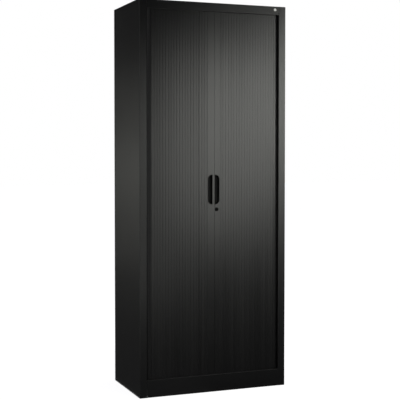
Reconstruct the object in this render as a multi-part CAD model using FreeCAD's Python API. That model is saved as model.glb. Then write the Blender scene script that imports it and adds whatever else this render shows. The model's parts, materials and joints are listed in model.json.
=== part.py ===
"""Tall steel cabinet with two side-opening roll fronts (tambour doors).

Frame: origin on the floor under the middle of the cabinet, +X to the right as seen from
the front, +Y towards the back, +Z up. The doors are at the front, on the -Y side.
All lengths are in millimetres.
"""
import FreeCAD
import Part

import math
import os

V = FreeCAD.Vector

# ---------------------------------------------------------------- carcass
WIDTH = 800.0
DEPTH = 430.0
HEIGHT = 1980.0
SHEET = 0.9               # sheet steel
BEND = 1.0                # inside radius of every fold
STILE = 38.0              # width of the upright front frame members
TOP_RAIL = 44.0           # height of the front face above the doors
PLINTH = 88.0             # height of the front face below the doors
REVEAL = 11.0             # how far the slats stand behind the front face
LIP_GAP = 2.0             # from the frame's return lips to the slats
REAR_FLANGE = 16.0        # rear fold of the side panels
REAR_APRON = 30.0         # rear fold of the top panel
PLINTH_FOOT = 20.0        # fold under the plinth face
BASE_FLANGE = 30.0        # folds of the base panel

# ---------------------------------------------------------------- roll fronts
SLAT_PITCH = 15.0
SLAT_GAP = 0.6            # between neighbouring slats on the flat
SLAT_THICK = 8.0
SLAT_CROWN = 0.8          # height of the rounded front of a slat
SLAT_TAPER = 1.1          # how much narrower a slat is at its back, each side
SLAT_SHOULDER = 4.5       # from the back of a slat up to where its taper ends
CORNER_R = 55.0           # centre line of the slats round the front corner
SIDE_GAP = 8.8            # from the side panel to the slats parked beside it
RAIL_COVER = 8.0          # how far the slats run up behind the rails
END_GAP = 1.0             # from the ends of the slats to the tracks
GLIDE_R = 2.5             # round nose on each end of a slat
GLIDE_CLEAR = 0.5         # each side of a glide in its groove
GROOVE_DEPTH = 8.0
TRACK_WALL = 3.0
TRACK_FLOOR = 4.0
GLIDE_SHORT = 1.0         # from a glide to the bottom of its groove
TAIL_STOP = 6.0           # least length of the rubber block at the rear end of each groove

# ---------------------------------------------------------------- leading profiles
LEAD_WIDTH = 36.0         # from the meeting line
LEAD_THICK = 10.0
LEAD_WALL = 1.5
LEAD_PROUD = 1.0          # front of the profile ahead of the slats
MEETING_GAP = 1.5         # between the two profiles when shut
COVER_REACH = 4.6         # left profile's lip, from the meeting line over the right one
COVER_THICK = 2.0
COVER_BEHIND = 0.6        # from the lip back to the right profile's rebate
COVER_GROOVE = 1.2        # from the lip's edge to the end of the rebate
SEAL_BACK = 3.0           # the seal strip lies this far behind the profiles' fronts
SEAL_DEPTH = 4.0
SEAL_GAP = 0.3
CAP_THICK = 2.0
CAP_PLUG = 12.0
CAP_FIT = 0.15
GLIDE_INSET = 3.0         # glide block back from the two edges of its profile
STOP_MARGIN = 4.0         # leading profile short of the corner when fully open

# ---------------------------------------------------------------- finger pulls and lock
PULL_HEIGHT = 152.0
PULL_Z = 1035.5
PULL_INNER = 6.2          # from the meeting line to the rim
PULL_OUTER = 31.5
PULL_CORNER = 23.0        # big corners, away from the meeting line
PULL_SMALL = 2.0          # small corners, beside it
PULL_RIM = 1.6
PULL_RIM_THICK = 0.8
PULL_DEPTH = 14.0
PULL_WALL = 1.2
PULL_FIT = 0.2
LOCK_X = 17.0
LOCK_Z = 934.5
LOCK_RIM_R = 10.0
LOCK_RIM = 1.6
BARREL_R = 7.0
BARREL_LENGTH = 20.0
PLUG_R = 4.55
PLUG_CLEAR = 0.05
KEY_SLOT = 1.5
KEY_SLOT_LENGTH = 6.4
KEY_SLOT_DEPTH = 7.0
KEY_SLOT_TILT = 45.0
PLUG_TAIL = 3.4           # of the plug behind the barrel, where the hook sits
NUT_ACROSS = 19.0
NUT_THICK = 4.0
HOOK_REACH = 34.0
HOOK_WIDTH = 10.0
HOOK_TOOTH = 4.6
HOOK_DROP = 7.0
HOOK_THICK = 2.4
HOOK_HUB_R = 7.5
HOOK_SCREW_R = 5.8
STUD_R = 3.0
STUD_CLEAR = 0.4
STRIKE_WIDTH = 14.0
STRIKE_HEIGHT = 34.0
STRIKE_THICK = 1.5
SCREW_R = 2.0
SCREW_HEAD_R = 3.6
SCREW_HEAD = 1.6

# ---------------------------------------------------------------- inside
LINER_GAP = 8.8           # from the parked slats to the inner liner
LINER_HEM = 5.0
LINER_FRONT = 68.0        # liner's front edge behind the front face
DECK_FRONT = 50.0         # deck's front edge behind the front face
UPRIGHT_WIDTH = 22.0
UPRIGHT_DEPTH = 7.0
UPRIGHT_FRONT = 95.0      # front uprights' centre behind the front face
UPRIGHT_BACK = 45.0       # rear uprights' centre ahead of the rear face
SLOT_PITCH = 32.0
SLOT_HEIGHT = 12.0
SLOT_WIDTH = 3.0
SLOT_START = 40.0         # first slot above the deck
SHELVES = 4
SLOTS_PER_BAY = 11
SHELF_FRONT = 50.0        # shelf's front edge behind the front face
SHELF_BACK = 10.0         # shelf's rear edge ahead of the rear face
SHELF_EDGE = 25.0
SHELF_RETURN = 10.0
SHELF_CLEAR = 1.0
CLIP_LEDGE = 12.0
CLIP_WIDTH = 14.0
CLIP_THICK = 1.5
CLIP_LEG = 16.0
CLIP_TONGUE = 2.6
CLIP_SEAT = 8.0           # shelf underside above the bottom of its slot
CLIP_HOOK = 2.5
CLIP_HOOK_DROP = 4.0

# ---------------------------------------------------------------- feet, badge, fixings
FOOT_INSET_X = 60.0       # from each side
FOOT_INSET_Y = 65.0       # from the front and rear faces
FOOT_LIFT = 1.0           # wound up, the pad hangs just clear of the floor
PAD_R = 19.0
PAD_THICK = 8.0
PAD_NECK_R = 9.0
PAD_NECK = 6.0
FOOT_STUD_R = 5.0
FOOT_STUD = 66.0          # length above the pad's neck
FOOT_SLOT = 1.6
FOOT_SLOT_DEPTH = 2.5
THREAD_CLEAR = 0.05
FOOT_NUT_R = 11.0
FOOT_NUT = 14.0
FOOT_HOLE_R = 6.0
ACCESS_R = 8.0
ACCESS_CAP_R = 10.0
ACCESS_CAP = 1.5
BADGE_R = 7.5
BADGE_THICK = 1.6
BADGE_X = 60.5            # from the right edge
BADGE_Z = 17.0            # from the top
WALL_HOLE_R = 4.5
WALL_HOLE_SPAN = 600.0
WALL_HOLE_Z = 80.0        # from the top
BACK_SCREWS = 7           # up each side of the back panel
BACK_SCREW_INSET = 8.0
BACK_SCREW_END = 90.0

# ---------------------------------------------------------------- worked out
HALF = WIDTH / 2
FRONT = -DEPTH / 2
BACK = DEPTH / 2
WALL = HALF - SHEET
OPEN_X = HALF - STILE
OPEN_TOP = HEIGHT - TOP_RAIL
SLAT_FRONT = FRONT + REVEAL
SLAT_Y = SLAT_FRONT + SLAT_THICK / 2
LIP_END = SLAT_FRONT - LIP_GAP
POCKET_X = WALL - SIDE_GAP - SLAT_THICK / 2
CORNER_X = POCKET_X - CORNER_R
CORNER_Y = SLAT_Y + CORNER_R
LINER_X = POCKET_X - SLAT_THICK / 2 - LINER_GAP - SHEET
LINER_Y = FRONT + LINER_FRONT
BACK_INNER = BACK - 2 * SHEET
FLAT_RUN = CORNER_X - LEAD_WIDTH
CORNER_RUN = CORNER_R * math.pi / 2
DOOR_TRAVEL = FLAT_RUN - STOP_MARGIN
PARKED_RUN = FLAT_RUN + CORNER_RUN + BACK_INNER - CORNER_Y - DOOR_TRAVEL
SLATS = int((PARKED_RUN - TAIL_STOP) / SLAT_PITCH)
STOP_LENGTH = PARKED_RUN - SLATS * SLAT_PITCH
SLAT_BOTTOM = PLINTH - RAIL_COVER
SLAT_TOP = OPEN_TOP + RAIL_COVER
TRACK_HEIGHT = GROOVE_DEPTH + TRACK_FLOOR
BASE_TOP = SLAT_BOTTOM - END_GAP - TRACK_HEIGHT
CEILING = SLAT_TOP + END_GAP + TRACK_HEIGHT
GROOVE_HALF = GLIDE_R + GLIDE_CLEAR
TRACK_HALF = GROOVE_HALF + TRACK_WALL
GLIDE_LENGTH = END_GAP + GROOVE_DEPTH - GLIDE_SHORT
LEAD_FRONT = SLAT_FRONT - LEAD_PROUD
LEAD_BACK = LEAD_FRONT + LEAD_THICK
LEAD_INNER = MEETING_GAP / 2
LEAD_OUTER = LEAD_WIDTH - SLAT_GAP / 2
REBATE_X = COVER_REACH + COVER_GROOVE
REBATE_Y = LEAD_FRONT + COVER_THICK + COVER_BEHIND
DECK_Y = FRONT + DECK_FRONT
FOOT_X = HALF - FOOT_INSET_X
FOOT_Y = BACK - FOOT_INSET_Y
UPRIGHT_X = LINER_X - UPRIGHT_DEPTH
SHELF_X = UPRIGHT_X - SHELF_CLEAR
UPRIGHT_YS = (FRONT + UPRIGHT_FRONT, BACK - UPRIGHT_BACK)
SHELF_UNDERSIDES = [PLINTH + SLOT_START + k * SLOTS_PER_BAY * SLOT_PITCH + CLIP_SEAT
                    for k in range(1, SHELVES + 1)]
BARREL_END = LEAD_FRONT + BARREL_LENGTH
HOOK_FRONT = BARREL_END + (PLUG_TAIL - HOOK_THICK)
HOOK_BACK = HOOK_FRONT + HOOK_THICK
STUD_X = LOCK_X - HOOK_REACH + HOOK_TOOTH + STUD_CLEAR + STUD_R
STUD_Z = LOCK_Z - HOOK_WIDTH / 2 - STUD_R - STUD_CLEAR


# ---------------------------------------------------------------- helpers
def box(x0, x1, y0, y1, z0, z1):
    """Block between the given planes, in any order along X."""
    low = min(x0, x1)
    return Part.makeBox(abs(x1 - x0), y1 - y0, z1 - z0, V(low, y0, z0))


def rod(radius, start, end):
    """Round bar from one point to another."""
    return Part.makeCylinder(radius, (end - start).Length, start, end - start)


def joined(shapes):
    """One solid out of shapes that touch or overlap."""
    return shapes[0].fuse(shapes[1:]).removeSplitter()


def group(shapes):
    """Separate solids that share a node."""
    return Part.makeCompound(shapes)


def mirrored(shape):
    """The same piece on the cabinet's left."""
    return shape.mirror(V(0, 0, 0), V(1, 0, 0))


def chain(points, radii):
    """Edges along a run of points, each inner corner rounded with its own radius."""
    edges = []
    at = points[0]
    for before, corner, after, radius in zip(points, points[1:], points[2:], radii):
        to_before = (before - corner).normalize()
        to_after = (after - corner).normalize()
        half = to_before.getAngle(to_after) / 2
        start = corner + to_before * (radius / math.tan(half))
        end = corner + to_after * (radius / math.tan(half))
        middle = (to_before + to_after).normalize()
        apex = corner + middle * (radius / math.sin(half) - radius)
        edges.append(Part.makeLine(at, start))
        edges.append(Part.Arc(start, apex, end).toShape())
        at = end
    edges.append(Part.makeLine(at, points[-1]))
    return edges


def folded(outline, inward, run):
    """Folded sheet: outline is its outer face as seen end on, in a plane square to run.

    inward says on which side of the outline the metal is: +1 is to the left of its
    direction, as seen with run pointing at the viewer.
    """
    axis = V(run).normalize()
    sides = []
    for a, b in zip(outline, outline[1:]):
        sides.append(axis.cross((b - a).normalize()) * inward)
    inner = [outline[0] + sides[0] * SHEET]
    radii = []
    for corner, n1, n2 in zip(outline[1:], sides, sides[1:]):
        inner.append(corner + (n1 + n2) * (SHEET / (1 + n1.dot(n2))))
    inner.append(outline[-1] + sides[-1] * SHEET)
    for i in range(1, len(outline) - 1):
        shorter = (inner[i + 1] - inner[i]).Length < (outline[i + 1] - outline[i]).Length
        radii.append(BEND + SHEET if shorter else BEND)
    inner_radii = [BEND if r > BEND else BEND + SHEET for r in radii]
    edges = chain(outline, radii)
    edges.append(Part.makeLine(outline[-1], inner[-1]))
    edges += chain(inner[::-1], inner_radii[::-1])
    edges.append(Part.makeLine(inner[0], outline[0]))
    return Part.Face(Part.Wire(Part.__sortEdges__(edges))).extrude(run)


def plan(points, z):
    """Points given as X and Y, at height z."""
    return [V(x, y, z) for x, y in points]


def section(points, x):
    """Points given as Y and Z, at station x."""
    return [V(x, y, z) for y, z in points]


def route(s):
    """Point and direction on the right door's centre line, s behind the leading profile."""
    if s <= FLAT_RUN:
        return V(LEAD_WIDTH + s, SLAT_Y, 0), 0.0
    if s <= FLAT_RUN + CORNER_RUN:
        turn = (s - FLAT_RUN) / CORNER_R
        x = CORNER_X + CORNER_R * math.sin(turn)
        return V(x, CORNER_Y - CORNER_R * math.cos(turn), 0), math.degrees(turn)
    return V(POCKET_X, CORNER_Y + s - FLAT_RUN - CORNER_RUN, 0), 90.0


def track_band(half, front_x, back_y, z, height):
    """Band of the door's path: along the front, round the corner and back beside the wall."""
    outer = CORNER_R + half
    inner = CORNER_R - half
    mid = math.sqrt(0.5)
    a = V(front_x, SLAT_Y - half, z)
    b = V(CORNER_X, SLAT_Y - half, z)
    c = V(POCKET_X + half, CORNER_Y, z)
    d = V(POCKET_X + half, back_y, z)
    e = V(POCKET_X - half, back_y, z)
    f = V(POCKET_X - half, CORNER_Y, z)
    g = V(CORNER_X, SLAT_Y + half, z)
    h = V(front_x, SLAT_Y + half, z)
    outer_mid = V(CORNER_X + outer * mid, CORNER_Y - outer * mid, z)
    inner_mid = V(CORNER_X + inner * mid, CORNER_Y - inner * mid, z)
    edges = [
        Part.makeLine(a, b), Part.Arc(b, outer_mid, c).toShape(), Part.makeLine(c, d),
        Part.makeLine(d, e), Part.makeLine(e, f), Part.Arc(f, inner_mid, g).toShape(),
        Part.makeLine(g, h), Part.makeLine(h, a),
    ]
    return Part.Face(Part.Wire(edges)).extrude(V(0, 0, height))


def d_block(x_in, x_out, z0, z1, big, small, y0, y1):
    """Half-stadium block: big corners at x_out, small corners at x_in."""
    block = box(x_in, x_out, y0, y1, z0, z1)
    round_off = {x_in: small, x_out: big}
    for x, radius in round_off.items():
        edges = [e for e in block.Edges
                 if e.BoundBox.YLength > (y1 - y0) / 2 and abs(e.BoundBox.Center.x - x) < radius / 2]
        block = block.makeFillet(radius, edges)
    return block


# ---------------------------------------------------------------- carcass pieces
def side_panel():
    """Right side: rear flange, wall, front stile and return lip, folded from one sheet."""
    outline = plan([(HALF - REAR_FLANGE, BACK), (HALF, BACK), (HALF, FRONT),
                    (OPEN_X, FRONT), (OPEN_X, LIP_END)], 0)
    return folded(outline, -1, V(0, 0, HEIGHT - SHEET))


def top_panel():
    """Top sheet with the front rail, its return lip and a rear apron folded down."""
    outline = section([(BACK, HEIGHT - REAR_APRON), (BACK, HEIGHT), (FRONT, HEIGHT),
                       (FRONT, OPEN_TOP), (LIP_END, OPEN_TOP)], -OPEN_X)
    rail = folded(outline, 1, V(2 * OPEN_X, 0, 0))
    sheet = box(-HALF, HALF, FRONT, BACK, HEIGHT - SHEET, HEIGHT)
    corners = [e for e in sheet.Edges if e.BoundBox.ZLength > SHEET / 2]
    sheet = sheet.makeFillet(BEND + SHEET, corners)
    middle = box(-OPEN_X, OPEN_X, FRONT, BACK, HEIGHT - SHEET, HEIGHT)
    return joined([rail, sheet.cut(middle)])


def ceiling_panel():
    """Inner ceiling that carries the top tracks."""
    edge = HEIGHT - SHEET - BEND
    outline = section([(LIP_END, edge), (LIP_END, CEILING), (BACK_INNER, CEILING),
                       (BACK_INNER, edge)], -WALL)
    return folded(outline, 1, V(2 * WALL, 0, 0))


def bottom_rail():
    """Plinth face with a lip behind the doors' lower edge and a foot fold on the floor."""
    outline = section([(FRONT + PLINTH_FOOT, 0), (FRONT, 0), (FRONT, PLINTH),
                       (LIP_END, PLINTH)], -OPEN_X)
    return folded(outline, -1, V(2 * OPEN_X, 0, 0))


def base_panel():
    """Tray that carries the bottom tracks, the deck and the levelling feet."""
    outline = section([(LIP_END, BASE_TOP - BASE_FLANGE), (LIP_END, BASE_TOP),
                       (BACK_INNER, BASE_TOP), (BACK_INNER, BASE_TOP - BASE_FLANGE)], -WALL)
    tray = folded(outline, -1, V(2 * WALL, 0, 0))
    return tray.cut(group([rod(FOOT_HOLE_R, V(x, y, BASE_TOP - 2 * SHEET), V(x, y, BASE_TOP + SHEET))
                           for x, y in foot_places()]))


def deck():
    """Floor of the storage space, with a hole above each levelling foot."""
    outline = section([(DECK_Y, BASE_TOP), (DECK_Y, PLINTH),
                       (BACK_INNER, PLINTH), (BACK_INNER, BASE_TOP)], -LINER_X)
    tray = folded(outline, -1, V(2 * LINER_X, 0, 0))
    return tray.cut(group([rod(ACCESS_R, V(x, y, PLINTH - 2 * SHEET), V(x, y, PLINTH + SHEET))
                           for x, y in foot_places()]))


def back_panel():
    """Rear sheet inside the side panels' flanges, with two holes for wall fixings."""
    sheet = box(BEND - WALL, WALL - BEND, BACK_INNER, BACK_INNER + SHEET, 0,
                HEIGHT - SHEET - BEND)
    z = HEIGHT - WALL_HOLE_Z
    holes = [rod(WALL_HOLE_R, V(x, BACK_INNER - SHEET, z), V(x, BACK_INNER + 2 * SHEET, z))
             for x in (-WALL_HOLE_SPAN / 2, WALL_HOLE_SPAN / 2)]
    screws = [rod(SCREW_R, V(x, BACK_INNER - SHEET, z), V(x, BACK_INNER + 2 * SHEET, z))
              for x, z in back_screw_places()]
    return sheet.cut(group(holes + screws))


def back_screw_places():
    """X and Z of the screws through the two rear flanges."""
    reach = HEIGHT - 2 * BACK_SCREW_END
    return [(side * (HALF - BACK_SCREW_INSET), BACK_SCREW_END + i * reach / (BACK_SCREWS - 1))
            for side in (-1, 1) for i in range(BACK_SCREWS)]


def back_screws():
    """Pan-head screws through the side panels' rear flanges into the back panel."""
    solids = []
    for x, z in back_screw_places():
        shank = rod(SCREW_R, V(x, BACK_INNER - SHEET, z), V(x, BACK, z))
        head = rod(SCREW_HEAD_R, V(x, BACK, z), V(x, BACK + SCREW_HEAD, z))
        rim = [e for e in head.Edges if abs(e.BoundBox.Center.y - BACK - SCREW_HEAD) < SCREW_HEAD / 2]
        solids.append(joined([shank, head.makeFillet(SCREW_HEAD / 2, rim[:1])]))
    return group(solids)


def drilled(panel):
    """Side panel with its holes for the back panel's screws."""
    return panel.cut(group([rod(SCREW_R, V(x, BACK - 2 * SHEET, z), V(x, BACK + SHEET, z))
                            for x, z in back_screw_places()]))


def inner_liner():
    """Right wall of the storage space, with the parked slats behind it."""
    outline = plan([(LINER_X + SHEET + LINER_HEM, LINER_Y), (LINER_X, LINER_Y),
                    (LINER_X, BACK_INNER)], BASE_TOP)
    return folded(outline, -1, V(0, 0, CEILING - BASE_TOP))


# ---------------------------------------------------------------- shelves
def slot_bottoms():
    """Heights of the slots up an upright."""
    room = CEILING - PLINTH - 2 * SLOT_START
    return [PLINTH + SLOT_START + i * SLOT_PITCH for i in range(int(room / SLOT_PITCH) + 1)]


def uprights():
    """Front and rear slotted channels on the right liner."""
    solids = []
    for y in UPRIGHT_YS:
        half = UPRIGHT_WIDTH / 2
        outline = plan([(LINER_X, y - half), (UPRIGHT_X, y - half),
                        (UPRIGHT_X, y + half), (LINER_X, y + half)], PLINTH)
        channel = folded(outline, -1, V(0, 0, CEILING - PLINTH))
        slots = [box(UPRIGHT_X - SHEET, UPRIGHT_X + 2 * SHEET, y - SLOT_WIDTH / 2,
                     y + SLOT_WIDTH / 2, z, z + SLOT_HEIGHT) for z in slot_bottoms()]
        solids.append(channel.cut(group(slots)))
    return group(solids)


def shelf(underside):
    """Adjustable shelf: a tray with folded front and rear edges."""
    top = underside + SHEET
    front = FRONT + SHELF_FRONT
    back = BACK - SHELF_BACK
    outline = section([(front + SHELF_RETURN, top - SHELF_EDGE), (front, top - SHELF_EDGE),
                       (front, top), (back, top), (back, top - SHELF_EDGE),
                       (back - SHELF_RETURN, top - SHELF_EDGE)], -SHELF_X)
    return folded(outline, -1, V(2 * SHELF_X, 0, 0))


def shelf_clips():
    """Hooked steel clips, four to a shelf."""
    solids = []
    for underside in SHELF_UNDERSIDES:
        slot = underside - CLIP_SEAT
        for y in UPRIGHT_YS:
            half = CLIP_WIDTH / 2
            ledge = box(UPRIGHT_X - CLIP_LEDGE, UPRIGHT_X, y - half, y + half,
                        underside - CLIP_THICK, underside)
            leg = box(UPRIGHT_X - CLIP_THICK, UPRIGHT_X, y - half, y + half,
                      underside - CLIP_LEG, underside)
            web_back = UPRIGHT_X + SHEET + THREAD_CLEAR
            tongue = box(UPRIGHT_X - CLIP_THICK, web_back + CLIP_HOOK, y - CLIP_TONGUE / 2,
                         y + CLIP_TONGUE / 2, slot, underside - CLIP_THICK)
            hook = box(web_back, web_back + CLIP_HOOK, y - CLIP_TONGUE / 2,
                       y + CLIP_TONGUE / 2, slot - CLIP_HOOK_DROP, underside - CLIP_THICK)
            clip = joined([ledge, leg, tongue, hook])
            solids += [clip, mirrored(clip)]
    return group(solids)


# ---------------------------------------------------------------- tracks and slats
def track(z, groove_z):
    """Right-hand guide track with its groove, on the floor level z."""
    body = track_band(TRACK_HALF, 0, BACK_INNER, z, TRACK_HEIGHT)
    return body.cut(track_band(GROOVE_HALF, 0, BACK_INNER, groove_z, GROOVE_DEPTH))


def tail_stops():
    """Rubber blocks in the rear ends of the grooves, where an open door's last slat stops."""
    blocks = []
    for z in (BASE_TOP + TRACK_FLOOR, CEILING - TRACK_HEIGHT):
        block = box(POCKET_X - GROOVE_HALF, POCKET_X + GROOVE_HALF, BACK_INNER - STOP_LENGTH,
                    BACK_INNER, z, z + GROOVE_DEPTH)
        blocks += [block, mirrored(block)]
    return group(blocks)


def slat(s):
    """One slat of the right door, s behind the leading profile."""
    at, turn = route(s)
    wide = (SLAT_PITCH - SLAT_GAP) / 2
    narrow = wide - SLAT_TAPER
    back = SLAT_THICK / 2
    edge = SLAT_CROWN - back
    shoulder = back - SLAT_SHOULDER
    p = [V(-wide, edge, 0), V(0, -back, 0), V(wide, edge, 0), V(wide, shoulder, 0),
         V(narrow, back, 0), V(-narrow, back, 0), V(-wide, shoulder, 0)]
    edges = [Part.Arc(p[0], p[1], p[2]).toShape()]
    for a, b in zip(p[2:], p[3:] + p[:1]):
        edges.append(Part.makeLine(a, b))
    bar = Part.Face(Part.Wire(edges)).extrude(V(0, 0, SLAT_TOP - SLAT_BOTTOM))
    bar.rotate(V(0, 0, 0), V(0, 0, 1), turn)
    bar.translate(at + V(0, 0, SLAT_BOTTOM))
    return bar


def slat_stations():
    """Distance of each slat's middle behind the leading profile."""
    return [(i + 0.5) * SLAT_PITCH for i in range(SLATS)]


def slat_glides():
    """Plastic noses on both ends of the right door's slats, running in the grooves."""
    noses = []
    for s in slat_stations():
        at = route(s)[0]
        low = at + V(0, 0, SLAT_BOTTOM)
        high = at + V(0, 0, SLAT_TOP)
        noses.append(rod(GLIDE_R, low, low - V(0, 0, GLIDE_LENGTH)))
        noses.append(rod(GLIDE_R, high, high + V(0, 0, GLIDE_LENGTH)))
    return group(noses)


# ---------------------------------------------------------------- leading profiles
def pull_block(grow, y0, y1):
    """Half-stadium of a finger pull's hollow, grown all round."""
    half = PULL_HEIGHT / 2 - PULL_RIM
    return d_block(PULL_INNER + PULL_RIM - grow, PULL_OUTER - PULL_RIM + grow,
                   PULL_Z - half - grow, PULL_Z + half + grow,
                   PULL_CORNER - PULL_RIM + grow, PULL_SMALL - PULL_RIM + grow, y0, y1)


def finger_pull():
    """Moulded cup set into the right leading profile."""
    rear = LEAD_FRONT + PULL_DEPTH
    rim = pull_block(PULL_RIM, LEAD_FRONT - PULL_RIM_THICK, LEAD_FRONT)
    cup = pull_block(PULL_WALL, LEAD_FRONT, rear + PULL_WALL)
    hollow = pull_block(0, LEAD_FRONT - 2 * PULL_RIM_THICK, rear)
    return joined([rim, cup]).cut(hollow)


def lead_profile():
    """Hollow aluminium profile at the leading edge of a door, drawn for the right one."""
    low = SLAT_BOTTOM + CAP_THICK
    high = SLAT_TOP - CAP_THICK
    outer = box(LEAD_INNER, LEAD_OUTER, LEAD_FRONT, LEAD_BACK, low, high)
    edges = [e for e in outer.Edges if e.BoundBox.ZLength > LEAD_WIDTH
             and e.BoundBox.Center.y < SLAT_Y and e.BoundBox.Center.x > REBATE_X]
    outer = outer.makeFillet(BEND, edges)
    main = box(REBATE_X + LEAD_WALL, LEAD_OUTER - LEAD_WALL, LEAD_FRONT + LEAD_WALL,
               LEAD_BACK - LEAD_WALL, low, high)
    nose = box(LEAD_INNER + LEAD_WALL, REBATE_X + LEAD_WALL, REBATE_Y + LEAD_WALL,
               LEAD_BACK - LEAD_WALL, low, high)
    pull = pull_block(PULL_WALL + PULL_FIT, LEAD_FRONT - LEAD_THICK, LEAD_BACK + LEAD_THICK)
    return outer.cut(group([joined([main, nose]), pull]))


def right_lead():
    """Right profile, with a rebate for the left one's lip and a hole for the lock."""
    rebate = box(0, REBATE_X, LEAD_FRONT - LEAD_THICK, REBATE_Y, SLAT_BOTTOM, SLAT_TOP)
    return lead_profile().cut(group([rebate, lock_hole()]))


def left_lead():
    """Left profile, with the lip that covers the meeting line."""
    lip = box(-2 * LEAD_INNER, COVER_REACH, LEAD_FRONT, LEAD_FRONT + COVER_THICK,
              SLAT_BOTTOM + CAP_THICK, SLAT_TOP - CAP_THICK)
    return joined([mirrored(lead_profile()), lip])


def lead_caps():
    """End caps of the right leading profile, with the blocks that run in the grooves."""
    x0 = LEAD_INNER
    x1 = LEAD_OUTER
    inset = LEAD_WALL + CAP_FIT
    caps = []
    for end, away in ((SLAT_BOTTOM, -1), (SLAT_TOP, 1)):
        inner = end - away * CAP_THICK
        deep = inner - away * CAP_PLUG
        tip = end + away * GLIDE_LENGTH
        plate = box(x0, x1, LEAD_FRONT, LEAD_BACK, min(end, inner), max(end, inner))
        plug = box(REBATE_X + inset, x1 - inset, LEAD_FRONT + inset, LEAD_BACK - inset,
                   min(inner, deep), max(inner, deep))
        glide = box(x0 + GLIDE_INSET, x1 - GLIDE_INSET, SLAT_Y - GLIDE_R, SLAT_Y + GLIDE_R,
                    min(end, tip), max(end, tip))
        caps.append(joined([plate, plug, glide]))
    return group(caps)


def meeting_seal():
    """Rubber strip on the right profile's edge that closes the meeting line."""
    return box(LEAD_INNER, SEAL_GAP - LEAD_INNER, LEAD_FRONT + SEAL_BACK,
               LEAD_FRONT + SEAL_BACK + SEAL_DEPTH, SLAT_BOTTOM, SLAT_TOP)


# ---------------------------------------------------------------- lock
def along(y):
    """Point on the lock's axis."""
    return V(LOCK_X, y, LOCK_Z)


def lock_hole():
    """Hole through the leading profile for the lock's barrel."""
    return rod(BARREL_R + PULL_FIT, along(LEAD_FRONT - LEAD_THICK), along(LEAD_BACK + LEAD_THICK))


def lock_barrel():
    """Fixed outer body of the lock with its round rim."""
    rim = rod(LOCK_RIM_R, along(LEAD_FRONT - LOCK_RIM), along(LEAD_FRONT))
    front = [e for e in rim.Edges if e.BoundBox.YLength < LOCK_RIM / 2
             and e.BoundBox.Center.y < LEAD_FRONT - LOCK_RIM / 2]
    rim = rim.makeFillet(LOCK_RIM / 2, front)
    barrel = rod(BARREL_R, along(LEAD_FRONT), along(BARREL_END))
    bore = rod(PLUG_R + PLUG_CLEAR, along(LEAD_FRONT - 2 * LOCK_RIM), along(BARREL_END + LOCK_RIM))
    return joined([rim, barrel]).cut(bore)


def lock_nut():
    """Hexagon nut that clamps the barrel to the back of the profile."""
    radius = NUT_ACROSS / math.sqrt(3)
    corners = [along(LEAD_BACK) + V(radius * math.cos(a), 0, radius * math.sin(a))
               for a in [math.radians(60 * i) for i in range(7)]]
    nut = Part.Face(Part.makePolygon(corners)).extrude(V(0, NUT_THICK, 0))
    return nut.cut(rod(BARREL_R, along(LEAD_BACK - NUT_THICK), along(LEAD_BACK + 2 * NUT_THICK)))


def lock_plug():
    """Turning core with its key slot."""
    core = rod(PLUG_R, along(LEAD_FRONT - LOCK_RIM / 2), along(HOOK_BACK))
    slot = box(LOCK_X - KEY_SLOT / 2, LOCK_X + KEY_SLOT / 2, LEAD_FRONT - LOCK_RIM,
               LEAD_FRONT - LOCK_RIM / 2 + KEY_SLOT_DEPTH, LOCK_Z - KEY_SLOT_LENGTH / 2,
               LOCK_Z + KEY_SLOT_LENGTH / 2)
    slot.rotate(along(0), V(0, 1, 0), KEY_SLOT_TILT)
    return core.cut(slot)


def lock_hook():
    """Hook on the back of the core, drawn locked, then turned up to its open place."""
    half = HOOK_WIDTH / 2
    x = LOCK_X - HOOK_REACH
    arm = box(x, LOCK_X, HOOK_FRONT, HOOK_BACK, LOCK_Z - half, LOCK_Z + half)
    hub = rod(HOOK_HUB_R, along(HOOK_FRONT), along(HOOK_BACK))
    tooth = box(x, x + HOOK_TOOTH, HOOK_FRONT, HOOK_BACK, LOCK_Z - half - HOOK_DROP, LOCK_Z + half)
    hook = joined([arm, hub, tooth])
    hook = hook.cut(rod(PLUG_R, along(HOOK_FRONT - HOOK_THICK), along(HOOK_BACK + HOOK_THICK)))
    hook.rotate(along(0), V(0, 1, 0), 90)
    return hook


def hook_screw():
    """Screw and washer head that hold the hook on the core."""
    return rod(HOOK_SCREW_R, along(HOOK_BACK), along(HOOK_BACK + SCREW_HEAD))


def strike():
    """Plate with a stud on the back of the left profile, which the hook drops behind."""
    x0 = STUD_X - STRIKE_WIDTH / 2
    plate = box(x0, x0 + STRIKE_WIDTH, LEAD_BACK, LEAD_BACK + STRIKE_THICK,
                STUD_Z - STRIKE_HEIGHT / 2, STUD_Z + STRIKE_HEIGHT / 2)
    stud = rod(STUD_R, V(STUD_X, LEAD_BACK, STUD_Z), V(STUD_X, HOOK_BACK + STUD_CLEAR, STUD_Z))
    return joined([plate, stud])


# ---------------------------------------------------------------- feet, badge, caps
def foot_places():
    """X and Y of the levelling feet."""
    return [(x, y) for y in (-FOOT_Y, FOOT_Y) for x in (-FOOT_X, FOOT_X)]


def foot_pad(x, y):
    """Plastic pad and neck of a levelling foot."""
    disc = rod(PAD_R, V(x, y, FOOT_LIFT), V(x, y, FOOT_LIFT + PAD_THICK))
    neck = rod(PAD_NECK_R, V(x, y, FOOT_LIFT + PAD_THICK), V(x, y, FOOT_LIFT + PAD_THICK + PAD_NECK))
    rim = [e for e in disc.Edges if e.BoundBox.ZLength < PAD_THICK / 2
           and e.BoundBox.Center.z > FOOT_LIFT + PAD_THICK / 2]
    return joined([disc.makeFillet(PAD_THICK / 3, rim), neck])


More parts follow.
